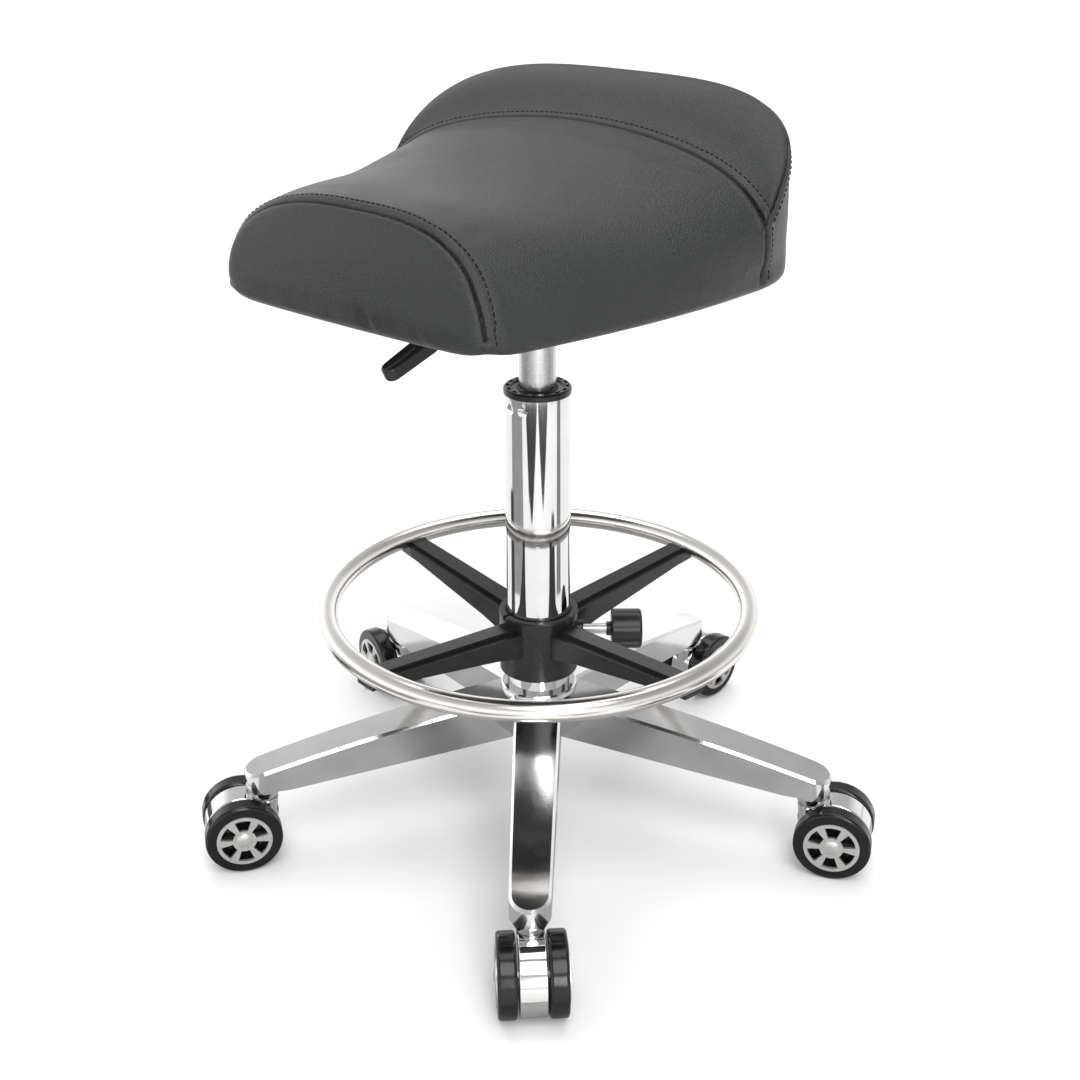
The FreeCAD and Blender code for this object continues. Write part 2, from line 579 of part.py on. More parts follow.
def make_paddle():
    """Plastic finger paddle over the end of the lever, thumb hollow on top."""
    slope = math.radians(PADDLE_SLOPE)
    long = (PADDLE_TIP - PADDLE_FROM) / math.cos(slope)
    tip, root, wide = PADDLE_TIP_HALF, PADDLE_ROOT_HALF, PADDLE_ROOT_HALF + 2
    end = long - tip
    arc = Part.Arc(V(end, tip, 0), V(end + tip, 0, 0), V(end, -tip, 0)).toShape()
    outline = Part.Wire([Part.makeLine(V(0, root, 0), V(14, wide, 0)),
                         Part.makeLine(V(14, wide, 0), V(end, tip, 0)), arc,
                         Part.makeLine(V(end, -tip, 0), V(14, -wide, 0)),
                         Part.makeLine(V(14, -wide, 0), V(0, -root, 0)),
                         Part.makeLine(V(0, -root, 0), V(0, root, 0))])
    body = Part.Face(outline).extrude(V(0, 0, PADDLE_THICK))
    body.translate(V(0, 0, -PADDLE_THICK / 2))
    body = body.makeFillet(2.2, [e for e in body.Edges if abs(e.BoundBox.ZMax - e.BoundBox.ZMin) < 0.1
                                 and e.CenterOfMass.x > 0.5])
    hollow = Part.makeSphere(22.0, V(0, 0, 0))
    m = FreeCAD.Matrix()
    m.scale(0.72, 0.19, 0.05)
    hollow = hollow.transformGeometry(m)
    hollow.translate(V(end - 8, 0, PADDLE_THICK / 2 + 0.3))
    body = body.cut(hollow)
    body = body.cut(Part.makeCylinder(LEVER_R + 0.02, 60.0, V(-20, 0, 0), V(1, 0, 0)).common(
        block(-25, (118.5 - PADDLE_FROM) / math.cos(slope), -20, 20, -20, 20)))
    body.rotate(V(0, 0, 0), V(0, 1, 0), PADDLE_SLOPE)
    body.translate(V(PADDLE_FROM, 0, PADDLE_LINE_Z - PADDLE_FROM * math.tan(slope)))
    return body


save("height_lever", turned(make_lever(), LEVER_AT))
save("lever_paddle", turned(make_paddle(), LEVER_AT))
pivot = Part.makeCylinder(2.0, 22.0, V(LEVER_PIVOT, -11, LEVER_Z), V(0, 1, 0))
save("lever_pivot_pin", turned(pivot, LEVER_AT))
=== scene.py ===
import json
import math

import bmesh
import bpy
import numpy as np
from mathutils import Matrix, Vector
from mathutils.bvhtree import BVHTree
from mathutils.kdtree import KDTree


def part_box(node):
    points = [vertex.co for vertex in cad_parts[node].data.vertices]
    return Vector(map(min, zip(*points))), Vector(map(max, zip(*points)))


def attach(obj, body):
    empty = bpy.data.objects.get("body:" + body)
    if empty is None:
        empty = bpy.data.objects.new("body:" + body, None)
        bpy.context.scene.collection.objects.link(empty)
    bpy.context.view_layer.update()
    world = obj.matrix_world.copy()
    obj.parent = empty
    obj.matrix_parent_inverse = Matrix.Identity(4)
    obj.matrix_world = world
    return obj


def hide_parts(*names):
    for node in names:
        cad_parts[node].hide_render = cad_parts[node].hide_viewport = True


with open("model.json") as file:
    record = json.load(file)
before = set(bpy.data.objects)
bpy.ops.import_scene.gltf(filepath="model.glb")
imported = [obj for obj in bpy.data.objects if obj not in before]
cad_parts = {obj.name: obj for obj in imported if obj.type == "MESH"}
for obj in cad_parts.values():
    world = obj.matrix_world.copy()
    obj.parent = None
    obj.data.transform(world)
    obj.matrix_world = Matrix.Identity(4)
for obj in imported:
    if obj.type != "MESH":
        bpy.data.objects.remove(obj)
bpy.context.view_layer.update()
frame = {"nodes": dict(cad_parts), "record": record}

MM = 0.001

# ---- seat driving dimensions, millimetres ---------------------------------
# s runs along the seat, minus is forward; w runs across it; h is the height above its underside
SEAT_BACK = math.radians(53.84)
SEAT_LOW = 463.8
FRONT_S = -187.5
FRONT_HALF = 118.5
FRONT_HIGH = 71.3
JOIN_S = 27.0                   # where the lip, top and back panels meet at each side
JOIN_HALF = 171.5
JOIN_HIGH = 44.8
SIDE_FOOT = (42.0, 162.0)       # lower end of the side seam, s and w
CREST_BACK = 105.3
CREST_HIGH = 122.3
BACK_FOOT = 122.0               # rearmost point of the underside
EDGE_R = 9.0                    # radius of the lower edge
BOARD_GAP = 0.7                 # leather to the seat board
UNDER_RISE = 1.2                # how far the turned-under leather rises to the board
POCKET_TOP = 16.4               # top of the pocket round the board
SIT_BACK = 30.0                 # rear station of the sitting area
SIT_LONG = 214.0                # and its distance from the front one
STEP_COUNT = 16                 # grid steps up each side, below the join
ARCH_COUNT = 96                 # grid steps over the top, join to join
TOP_ROWS = 56
LIP_ROWS = 22
TOP, FRONT, LIP, BACK, UNDER = range(5)
SWELL_CAP = 0.0030              # furthest that the cloth pressure may move the leather, metres
SWELL_VOXEL = 0.006             # cell of the coarse copy that the pressure works on, metres
SWELL_INSIDE = 1.6              # how far inside the leather that copy starts
SWELL_PRESSURE = 4.0
SWELL_FRAMES = 20
FREE_AT = 20.0                  # distance from a seam at which the leather may move fully
HELD_BELOW = 0.12               # freedom below which a point of the copy is pinned
TOPSTITCH = 0.007               # from seam to topstitch, metres
STITCH_SIDES = 6
ENDS = 5                        # grid lines without topstitches where panels meet in a point
FRONT_FOLD = (17, 9)            # rounding radii of the front seam's fold, at its foot and its top
BACK_FOLD = (7, 5)
# puckers of the lower edge: place (s, w, h), width and height, depth, all millimetres
PUCKERS = (((-191, 22, 7), (4.5, 5.5), 1.7), ((-190, 66, 6), (3.0, 5.0), 0.4),
           ((60, 165, 9), (4.0, 8.0), 1.0), ((-60, 150, 9), (6.0, 8.0), 0.8))
SAG = 4.5                       # how far the leather hangs below the board
SAG_HIGH = 50.0                 # the height over which it does
GROOVE = 1.5                    # depth of the seam valleys
CORNER_RISE = 5.5               # how far the two front corners of the underside are drawn up
CORNER_R = 14.0
FOLD_R = 0.41                   # how far a right-angled fold draws in, as a share of its rounding radius

# ---- studio -----------------------------------------------------------------
# flags: direction, half angle near and far, nearest and farthest distance, tone
FLAGS = ((-108, 2, 20, 0.62, 1.05, 0.01), (-69, 1, 17, 0.66, 1.05, 0.01),
         (-160, 40, 40, 1.05, 3.0, 0.2), (-12, 38, 38, 1.05, 3.0, 0.2),
         (-163, 27, 22, 0.42, 1.05, 0.22), (-188, 10, 8, 0.34, 0.70, 0.02),
         (-10, 9, 7, 0.42, 1.05, 0.16), (-34, 14, 5, 0.34, 0.64, 0.02),
         (0, 180, 180, 0.03, 0.31, 0.36))
FLAG_HIGH = 0.002               # the first flag above the floor
FLAG_STEP = 0.0002              # and each next one above the last
# sky: height of the direction, brightness
SKY = ((0.0, 0.95), (0.12, 1.55), (0.30, 1.35), (0.48, 0.70), (1.0, 0.36))
SKY_LEAN = -0.30                # how much brighter the sky is on the left than on the right
# suns: direction, height, angular size, all degrees, and strength
SUNS = (("overhead", 94, 74, 50, 1.3), ("front_sun", -72, 56, 34, 1.3))
FRONT_LIGHT = ((0.55, -2.1, 0.75), (0.0, 0.0, 0.45), (0.35, 0.8), 15)   # place, target, size, watts
CAMERA_PLACE = (0.0653, -1.0529, 0.7360)
LENS = 50.0                     # millimetres, on a sensor of this width
SENSOR = 36.0
YAW = -0.0606                   # radians, as are the next two
PITCH = 0.4358
ROLL = -0.0039


# ==== node helpers ============================================================
class Look:
    """A material being built: its shader and the few node recipes that the looks share."""

    def __init__(self, name, **sockets):
        self.mat = bpy.data.materials.new(name)
        self.mat.use_nodes = True
        self.tree = self.mat.node_tree
        self.shader = self.tree.nodes["Principled BSDF"]
        for key, value in sockets.items():
            self.shader.inputs[key.replace("_", " ")].default_value = value
        self.coord = self.node("ShaderNodeTexCoord").outputs["Object"]

    def node(self, kind, **settings):
        n = self.tree.nodes.new(kind)
        for key, value in settings.items():
            setattr(n, key, value)
        return n

    def link(self, a, b):
        self.tree.links.new(a, b)

    def stretch(self, scale):
        n = self.node("ShaderNodeMapping")
        n.inputs["Scale"].default_value = scale
        self.link(self.coord, n.inputs["Vector"])
        return n.outputs["Vector"]

    def round_coord(self, across):
        """Coordinates for parts turned about Z: a share of the distance from the axis, and height."""
        split = self.node("ShaderNodeSeparateXYZ")
        self.link(self.coord, split.inputs[0])
        flat = self.node("ShaderNodeCombineXYZ")
        self.link(split.outputs["X"], flat.inputs["X"])
        self.link(split.outputs["Y"], flat.inputs["Y"])
        size = self.node("ShaderNodeVectorMath", operation="LENGTH")
        self.link(flat.outputs[0], size.inputs[0])
        out = self.node("ShaderNodeCombineXYZ")
        self.link(self.math("MULTIPLY", size.outputs["Value"], across), out.inputs["X"])
        self.link(split.outputs["Z"], out.inputs["Z"])
        return out.outputs[0]

    def noise(self, scale, detail=3.0, rough=0.5, coord=None):
        n = self.node("ShaderNodeTexNoise")
        n.inputs["Scale"].default_value = scale
        n.inputs["Detail"].default_value = detail
        n.inputs["Roughness"].default_value = rough
        self.link(coord or self.coord, n.inputs["Vector"])
        return n.outputs["Fac"]

    def cells(self, scale):
        n = self.node("ShaderNodeTexVoronoi")
        n.inputs["Scale"].default_value = scale
        self.link(self.coord, n.inputs["Vector"])
        return n.outputs["Distance"]

    def math(self, operation, a, b):
        n = self.node("ShaderNodeMath", operation=operation)
        for socket, v in zip(n.inputs, (a, b)):
            if isinstance(v, (int, float)):
                socket.default_value = v
            else:
                self.link(v, socket)
        return n.outputs[0]

    def colour(self, value, stops):
        n = self.node("ShaderNodeValToRGB")
        ramp = n.color_ramp
        while len(ramp.elements) < len(stops):
            ramp.elements.new(0.5)
        for e, (place, rgb) in zip(ramp.elements, stops):
            e.position = place
            e.color = (*rgb, 1.0)
        self.link(value, n.inputs["Fac"])
        self.link(n.outputs["Color"], self.shader.inputs["Base Color"])

    def rough(self, value, low, high):
        """Roughness between two values, over the middle range of a noise."""
        n = self.node("ShaderNodeMapRange", clamp=True)
        n.inputs["From Min"].default_value = 0.3
        n.inputs["From Max"].default_value = 0.7
        n.inputs["To Min"].default_value = low
        n.inputs["To Max"].default_value = high
        self.link(value, n.inputs["Value"])
        self.link(n.outputs["Result"], self.shader.inputs["Roughness"])

    def bump(self, *layers):
        """Each layer is (height, distance in metres, strength); later ones ride on earlier ones."""
        normal = None
        for height, distance, strength in layers:
            n = self.node("ShaderNodeBump")
            n.inputs["Distance"].default_value = distance
            n.inputs["Strength"].default_value = strength
            self.link(height, n.inputs["Height"])
            if normal:
                self.link(normal, n.inputs["Normal"])
            normal = n.outputs["Normal"]
        self.link(normal, self.shader.inputs["Normal"])


def grey(v, warm=0.0):
    """Neutral tone, a little warmer or cooler."""
    return (v * (1 + warm), v, v * (1 - warm))


def leather():
    """Fine-grained black leather, semi-matte."""
    m = Look("black_leather", Metallic=0.0, IOR=1.5)
    big = m.noise(9, 3)
    m.colour(big, [(0.3, (0.009, 0.0102, 0.0102)), (0.7, (0.0135, 0.0147, 0.0147))])
    fine = m.noise(700, 4, 0.6)
    m.rough(m.math("ADD", m.math("MULTIPLY", big, 0.5), m.math("MULTIPLY", fine, 0.5)), 0.34, 0.50)
    grain = m.cells(1150)
    soft = m.noise(2400, 2)
    drift = m.noise(26, 2)
    m.bump((drift, 0.0018, 0.30), (grain, 0.00040, 0.75), (soft, 0.00015, 0.5))
    return m.mat


def chrome(name, tint=0.0, rough=0.035):
    """Bright plating with faint smudges."""
    m = Look(name, Metallic=1.0)
    smudge = m.noise(35, 5, 0.6)
    m.colour(smudge, [(0.3, grey(0.66, tint)), (0.7, grey(0.73, tint))])
    fine = m.noise(900, 2, coord=m.stretch((1, 1, 0.05)))
    m.rough(m.math("ADD", m.math("MULTIPLY", smudge, 0.7), m.math("MULTIPLY", fine, 0.3)),
            rough, rough + 0.05)
    m.bump((m.noise(14, 1), 0.0006, 0.06))
    return m.mat


def turned_metal(name, tone, warm, low, high, lines=2600.0, across=0.02):
    """Ground or polished metal with fine lines round the Z axis."""
    m = Look(name, Metallic=1.0)
    around = m.round_coord(across)
    line = m.noise(lines, 3, 0.7, coord=around)
    smudge = m.noise(30, 4)
    m.colour(smudge, [(0.3, grey(tone * 0.94, warm)), (0.7, grey(tone, warm))])
    m.rough(m.math("ADD", m.math("MULTIPLY", smudge, 0.5), m.math("MULTIPLY", line, 0.5)), low, high)
    m.bump((line, 0.00004, 0.35))
    return m.mat


def polished_cast():
    """Polished cast aluminium, a little cloudy."""
    m = Look("polished_aluminium", Metallic=1.0)
    cloud = m.noise(16, 4, 0.55)
    m.colour(cloud, [(0.3, grey(0.62)), (0.7, grey(0.74))])
    swirl = m.noise(420, 3, 0.65, coord=m.stretch((1, 1, 3)))
    m.rough(m.math("ADD", m.math("MULTIPLY", cloud, 0.6), m.math("MULTIPLY", swirl, 0.4)), 0.07, 0.17)
    m.bump((m.noise(45, 2), 0.0007, 0.10), (swirl, 0.00003, 0.3))
    return m.mat


def plastic(name, tone, low, high, grain=1800.0, depth=0.00006):
    """Dark plastic, enamel or tyre with a fine grain."""
    m = Look(name, Metallic=0.0, Specular_IOR_Level=0.36)
    cloud = m.noise(40, 3)
    m.colour(cloud, [(0.3, grey(tone * 0.85)), (0.7, grey(tone * 1.15))])
    fine = m.noise(grain, 2)
    m.rough(m.math("ADD", m.math("MULTIPLY", cloud, 0.5), m.math("MULTIPLY", fine, 0.5)), low, high)
    m.bump((m.noise(60, 1), 0.0005, 0.10), (fine, depth, 0.5))
    return m.mat


def silver_paint():
    """Silver paint with small flakes."""
    m = Look("silver_paint", Metallic=0.7, Coat_Weight=0.4, Coat_Roughness=0.15)
    flake = m.cells(2600)
    m.colour(flake, [(0.1, (0.44, 0.44, 0.43)), (0.8, (0.60, 0.60, 0.58))])
    m.rough(m.noise(120, 3), 0.26, 0.38)
    m.bump((flake, 0.00003, 0.3))
    return m.mat


def plywood():
    """Raw plywood with long grain lines."""
    m = Look("plywood", Metallic=0.0)
    lines = m.noise(60, 5, 0.6, coord=m.stretch((1, 12, 30)))
    m.colour(lines, [(0.3, (0.42, 0.28, 0.15)), (0.7, (0.66, 0.50, 0.31))])
    m.rough(lines, 0.55, 0.75)
    m.bump((lines, 0.0003, 0.5))
    return m.mat


def felt(name, tone):
    """Fibrous cloth, also used for the foam."""
    m = Look(name, Metallic=0.0, Sheen_Weight=0.3, Sheen_Roughness=0.6)
    fibre = m.noise(1400, 5, 0.7)
    m.colour(fibre, [(0.3, grey(tone * 0.6)), (0.7, grey(tone * 1.5))])
    m.rough(fibre, 0.85, 0.97)
    m.bump((fibre, 0.0003, 0.8))
    return m.mat


def thread():
    """Black sewing thread."""
    m = Look("black_thread", Metallic=0.0, Specular_IOR_Level=0.25)
    twist = m.noise(3000, 2)
    m.colour(twist, [(0.3, grey(0.003)), (0.7, grey(0.007))])
    m.rough(twist, 0.5, 0.7)
    m.bump((twist, 0.0001, 0.6))
    return m.mat


LOOKS = {
    "polished_aluminium": polished_cast(),
    "chrome": chrome("chrome"),
    "caster_chrome": chrome("caster_chrome", 0.01, 0.05),
    "satin_steel": turned_metal("satin_steel", 0.62, -0.01, 0.20, 0.34),
    "ring_steel": turned_metal("ring_steel", 0.74, 0.035, 0.13, 0.24, 3200.0, 1.0),
    "plain_steel": turned_metal("plain_steel", 0.55, 0.0, 0.25, 0.42),
    "black_plastic": plastic("black_plastic", 0.012, 0.22, 0.36),
    "black_enamel": plastic("black_enamel", 0.014, 0.28, 0.42, 700.0, 0.00008),
    "black_tyre": plastic("black_tyre", 0.006, 0.12, 0.24, 1200.0, 0.00003),
    "silver_paint": silver_paint(),
    "black_leather": leather(),
    "foam": felt("foam", 0.6),
    "plywood": plywood(),
    "underside_cloth": felt("underside_cloth", 0.012),
}
THREAD = thread()

slot_of = {s["node"]: s["material_slot"] for s in frame["record"]["subparts"]}
for name, node in frame["nodes"].items():
    node.data.materials.clear()
    node.data.materials.append(LOOKS[slot_of[name]])


# ==== seat ====================================================================
def power(v, p):
    """Signed power, for the rounded-square curves of the seat."""
    return np.sign(v) * np.abs(v) ** p


def to_world(p):
    """Seat points (s, w, h) in millimetres to the row frame in metres."""
    p = np.asarray(p, float)
    c, n = math.cos(SEAT_BACK), math.sin(SEAT_BACK)
    s, w, h = p[..., 0], p[..., 1], p[..., 2]
    return np.stack([s * c + w * n, s * n - w * c, h + SEAT_LOW], -1) * MM


def at_shares(points, shares):
    """Points of a curve at shares of its length."""
    points = np.asarray(points, float)
    step = np.r_[0, np.cumsum(np.linalg.norm(np.diff(points, axis=0), axis=1))]
    return np.stack([np.interp(shares * step[-1], step, points[:, k]) for k in range(3)], -1)


def even(points, count):
    """Points of a curve at equal distances."""
    return at_shares(points, np.linspace(0, 1, count + 1))


def crowd_both(count, pull):
    """Shares from 0 to 1 that lie closer together at both ends."""
    x = np.linspace(0, 1, count + 1)
    return x - pull * np.sin(2 * math.pi * x) / (2 * math.pi)


def crowd_end(count, pull):
    """Shares from 0 to 1 that lie closer together at the end."""
    x = np.linspace(0, 1, count + 1)
    return x + pull * np.sin(math.pi * x) / math.pi


ANGLE = np.linspace(0, math.pi, 1601)
UP = crowd_end(STEP_COUNT, 0.8)         # up a side, closer near the seam above
OVER = crowd_both(ARCH_COUNT, 0.6)      # over an arch, closer near the side seams


def front_arch():
    """Front seam, over the pommel from the near foot to the far foot."""
    c, n = np.cos(ANGLE), np.abs(np.sin(ANGLE))
    w = FRONT_HALF * power(c, 2 / 2.88)
    h = FRONT_HIGH * n ** (2 / 2.42)
    s = FRONT_S - 0.019 * h + 11.5 * (h / FRONT_HIGH) ** 2
    return above_edge(np.stack([s, w, h], -1))


def rear_seam():
    """Seam between the sitting area and the lip, join to join."""
    x = power(np.cos(ANGLE), 0.8)
    w = JOIN_HALF * x
    h = JOIN_HIGH + 29.5 * (1 - x ** 2) + 19.0 * (1 - x ** 8)
    s = JOIN_S + 12.5 * (1 - x ** 2) + 4.0 * (1 - x ** 8)
    return np.stack([s, w, h], -1)


def crest():
    """Seam along the top of the lip, join to join."""
    c, n = np.cos(ANGLE), np.abs(np.sin(ANGLE))
    w = JOIN_HALF * power(c, 2 / 3.3)
    s = JOIN_S + (CREST_BACK - JOIN_S) * n ** (2 / 2.55)
    h = JOIN_HIGH + (CREST_HIGH - JOIN_HIGH) * n ** (2 / 3.03)
    return np.stack([s, w, h], -1)


def side_seam(sign):
    """From the foot of the side up to the join."""
    t = np.linspace(0, 1, 60)
    s = SIDE_FOOT[0] + (JOIN_S - SIDE_FOOT[0]) * t
    w = SIDE_FOOT[1] + (JOIN_HALF - SIDE_FOOT[1]) * np.sin(t * math.pi / 2)
    return np.stack([s, sign * w, EDGE_R + (JOIN_HIGH - EDGE_R) * t], -1)


def back_foot():
    """Lower rear edge, from the near side seam round to the far one."""
    c, n = np.cos(ANGLE), np.abs(np.sin(ANGLE))
    w = (SIDE_FOOT[1] + 3 * n) * power(c, 2 / 3.6)
    s = SIDE_FOOT[0] + (BACK_FOOT - SIDE_FOOT[0]) * n ** (2 / 2.55)
    return np.stack([s, w, 0 * s + EDGE_R], -1)


def above_edge(curve):
    """The part of an arch above the rounded lower edge, closed at exactly that height."""
    keep = curve[curve[:, 2] > EDGE_R + 0.2]
    first, last = keep[0].copy(), keep[-1].copy()
    first[2] = last[2] = EDGE_R
    return np.vstack([[first], keep, [last]])


def hermite(a, b, da, db, t):
    """Curve from a to b with end slopes."""
    t = t[:, None]
    return ((2 * t ** 3 - 3 * t ** 2 + 1) * a + (t ** 3 - 2 * t ** 2 + t) * da
            + (-2 * t ** 3 + 3 * t ** 2) * b + (t ** 3 - t ** 2) * db)


# five stations of the sitting area: place along the seat, height and half width
KNOT_S = np.array([-184.0, -130.0, -75.0, -20.0, SIT_BACK])
KNOT_H = np.array([71.3, 75.6, 73.4, 81.7, 93.0])
KNOT_W = np.array([113.3, 133.0, 151.0, 165.0, 173.5])


def along(knots, s):
    """Smooth curve through the five stations of the sitting area."""
    u = (KNOT_S - SIT_BACK) / SIT_LONG
    return np.polyval(np.polyfit(u, knots, 4), (np.asarray(s) - SIT_BACK) / SIT_LONG)


def section(s, angle):
    """Point of the sitting area at a station, by the angle over its arch."""
    u = (s - FRONT_S) / SIT_LONG
    b = np.clip(4 * u * (1 - u), 0, 1)
    n = 2.88 - 0.33 * u + 0.55 * b
    m = 2.42 + 0.68 * u + 0.06 * b
    c, q = np.cos(angle), np.abs(np.sin(angle))
    h = along(KNOT_H, s) * q ** (2 / m)
    w = along(KNOT_W, s) * power(c, 2 / n)
    tuck = 11.0 * np.clip(u, 0, 1) * np.clip(1 - h / JOIN_HIGH, 0, 1) ** 2
    return np.stack([s, w - np.sign(c) * tuck, h], -1)


def arch_row(curve):
    """An arch split at the height of the joins: steps up one side, over the top, down the other."""
    h = curve[:, 2]
    cut = int(np.argmax(h > h.max() * 0.50))
    far = len(curve) - 1 - cut
    a = at_shares(curve[:cut + 1], UP)
    b = at_shares(curve[cut:far + 1], OVER)
    c = at_shares(curve[far:][::-1], UP)[::-1]
    return np.vstack([a, b[1:], c[1:]])


def angle_of(point, s):
    """Angle over the arch whose section passes nearest a point."""
    a = np.linspace(0, math.pi, 721)
    q = section(np.full_like(a, s), a)
    d = (q[:, 1] - point[1]) ** 2 + (q[:, 2] - point[2]) ** 2
    return a[int(np.argmin(d))]


def top_panel():
    """Sitting area and sides, from the front seam to the side and rear seams."""
    front = arch_row(front_arch())
    near, far = at_shares(side_seam(1), UP), at_shares(side_seam(-1), UP)[::-1]
    rear = np.vstack([near, at_shares(rear_seam(), OVER)[1:], far[1:]])
    grid = []
    t = crowd_both(TOP_ROWS, 0.72)
    for a, b in zip(front, rear):
        angle_a, angle_b = angle_of(a, a[0]), angle_of(b, min(b[0], SIT_BACK))
        s = a[0] + (b[0] - a[0]) * t
        line = section(s, angle_a + (angle_b - angle_a) * t)
        off_a, off_b = a - line[0], b - line[-1]
        k = t[:, None]
        grid.append(line + off_a * (1 - k) ** 2 + off_b * k ** 2)
    grid = np.array(grid).transpose(1, 0, 2)
    grid[:, (0, -1), 2] = EDGE_R
    return grid


def coons(bottom, top, left, right, bulge):
    """Patch between four edges, pushed out by a bulge in the middle."""
    u = OVER[None, :, None]
    v = UP[:, None, None]
    ruled = (1 - v) * bottom[None] + v * top[None] + (1 - u) * left[:, None] + u * right[:, None]
    corner = ((1 - u) * (1 - v) * bottom[0] + u * (1 - v) * bottom[-1]
              + (1 - u) * v * top[0] + u * v * top[-1])
    lift = (16 * u * (1 - u) * v * (1 - v)) ** 0.55
    return ruled - corner + lift * np.asarray(bulge, float)


def lip_panel():
    """Lip between the rear seam and the crest: hollow low down, rounding over at the crest."""
    low, high = at_shares(rear_seam(), OVER), at_shares(crest(), OVER)
    t = crowd_both(LIP_ROWS, 0.6)
    grid = []
    for a, b in zip(low, high):
        d = b - a
        reach = np.linalg.norm(d)
        inward = np.array([1.0, 0.25 * np.sign(a[1]) * min(1, abs(a[1]) / 120), 0.35])
        start = d * 0.55 + inward * reach * 0.35
        finish = d * 0.75 + np.array([0.55, 0, -0.28]) * reach
        grid.append(hermite(a, b, start, finish, t))
    return np.array(grid).transpose(1, 0, 2)


def front_panel(arch):
    """Face of the pommel under the front seam; its lower edge bows forward."""
    side_a = arch[:STEP_COUNT + 1]
    over = arch[STEP_COUNT:STEP_COUNT + ARCH_COUNT + 1]
    side_b = arch[STEP_COUNT + ARCH_COUNT:][::-1]
    t = OVER[:, None]
    foot = arch[0] * (1 - t) + arch[-1] * t + np.array([-5.5, 0, 0]) * (4 * t * (1 - t)) ** 0.6
    return coons(foot, over, side_a, side_b, (-6.5, 0, 0))


def back_panel(crest_row):
    """Face behind the lip, from the crest and side seams down to the lower edge."""
    low = at_shares(back_foot(), OVER)
    near, far = at_shares(side_seam(1), UP), at_shares(side_seam(-1), UP)
    return coons(low, crest_row, near, far, (2.0, 0, 0))


class Panels:
    """Collects grids of points into one mesh whose panels share their seam points."""

    def __init__(self):
        self.points, self.faces, self.panel = [], [], []
        self.known = {}

    def vertex(self, p):
        """Index of the point here, shared with any other within a tenth of a millimetre."""
        cell = tuple(int(v) for v in np.floor(np.asarray(p) * 5))
        for x in (-1, 0, 1):
            for y in (-1, 0, 1):
                for z in (-1, 0, 1):
                    for k in self.known.get((cell[0] + x, cell[1] + y, cell[2] + z), ()):
                        if np.abs(self.points[k] - p).max() < 0.1:
                            return k
        self.known.setdefault(cell, []).append(len(self.points))
        self.points.append(np.asarray(p, float))
        return len(self.points) - 1

    def add(self, grid, panel):
        """Adds a grid's quads, less the corners that fall together."""
        index = np.array([[self.vertex(p) for p in row] for row in grid])
        for r in range(len(index) - 1):
            for c in range(len(index[0]) - 1):
                loop = [index[r][c], index[r][c + 1], index[r + 1][c + 1], index[r + 1][c]]
                loop = [int(v) for k, v in enumerate(loop) if v != loop[k - 1]]
                if len(set(loop)) > 2:
                    self.faces.append(loop)
                    self.panel.append(panel)


def board_room(loop):
    """Edge of the pocket round the seat board, seen from each point of the lower edge."""
    node = frame["nodes"]["seat_board"]
    tree = BVHTree.FromPolygons([v.co for v in node.data.vertices],
                                [tuple(p.vertices) for p in node.data.polygons])
    low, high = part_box("seat_board")
    level = (low[2] + high[2]) / 2 / MM - SEAT_LOW
    centre = np.array([-35.0, 0.0, level])
    room = []
    for p in loop:
        start = np.array([p[0], p[1], level])
        away = centre - start
        a, b = Vector(to_world(start)), Vector(to_world(centre))
        hit = tree.ray_cast(a, (b - a).normalized())[0]
        share = (hit - a).length / (b - a).length - BOARD_GAP / np.linalg.norm(away)
        room.append(start + away * share)
    room = np.array(room)
    room[:, 2] = 0
    return room


def under_edge(loop):
    """Rows that carry the lower edge round its radius and on to the pocket of the board."""
    ahead, behind = np.roll(loop, -1, axis=0), np.roll(loop, 1, axis=0)
    run = ahead - behind
    inward = np.stack([-run[:, 1], run[:, 0], 0 * run[:, 0]], -1)
    inward /= np.linalg.norm(inward, axis=1)[:, None]
    for _ in range(6):
        inward = (np.roll(inward, 1, 0) + inward + np.roll(inward, -1, 0)) / 3
    if (inward * (loop.mean(axis=0) - loop)).sum() < 0:
        inward = -inward
    rows = [loop]
    for turn in np.linspace(0, math.pi / 2, 7)[1:]:
        row = loop + inward * EDGE_R * (1 - math.cos(turn))
        row[:, 2] = EDGE_R * (1 - math.sin(turn)) - SAG
        rows.append(row)
    room = board_room(loop)
    last = rows[-1]
    for t in np.linspace(0, 1, 6)[1:]:
        row = last * (1 - t) + room * t
        row[:, 2] = UNDER_RISE * t ** 2 - SAG * (1 - t)
        rows.append(row)
    for h in (UNDER_RISE + 3.0, POCKET_TOP / 2, POCKET_TOP):
        row = room.copy()
        row[:, 2] = h
        rows.append(row)
    return np.array(rows)


def hung(grid):
    """Grid whose lower part hangs a little."""
    grid = grid.copy()
    grid[..., 2] -= SAG * np.clip(1 - (grid[..., 2] - EDGE_R) / SAG_HIGH, 0, 1) ** 2
    return grid


def seat_shell():
    """The four leather panels and the turned-under edge as one closed grid mesh."""
    shell = Panels()
    top = top_panel()
    lip = lip_panel()
    front = hung(front_panel(top[0]))
    back = hung(back_panel(lip[-1]))
    top, lip = hung(top), hung(lip)
    shell.add(top, TOP)
    shell.add(front, FRONT)
    shell.add(lip, LIP)
    shell.add(back, BACK)
    loop = np.vstack([top[:-1, 0], back[0][:-1], top[::-1, -1][:-1], front[0][::-1][:-1]])
    rows = under_edge(loop)
    rows = np.concatenate([rows, rows[:, :1]], axis=1)
    shell.add(rows, UNDER)
    return shell, top, front, lip, back


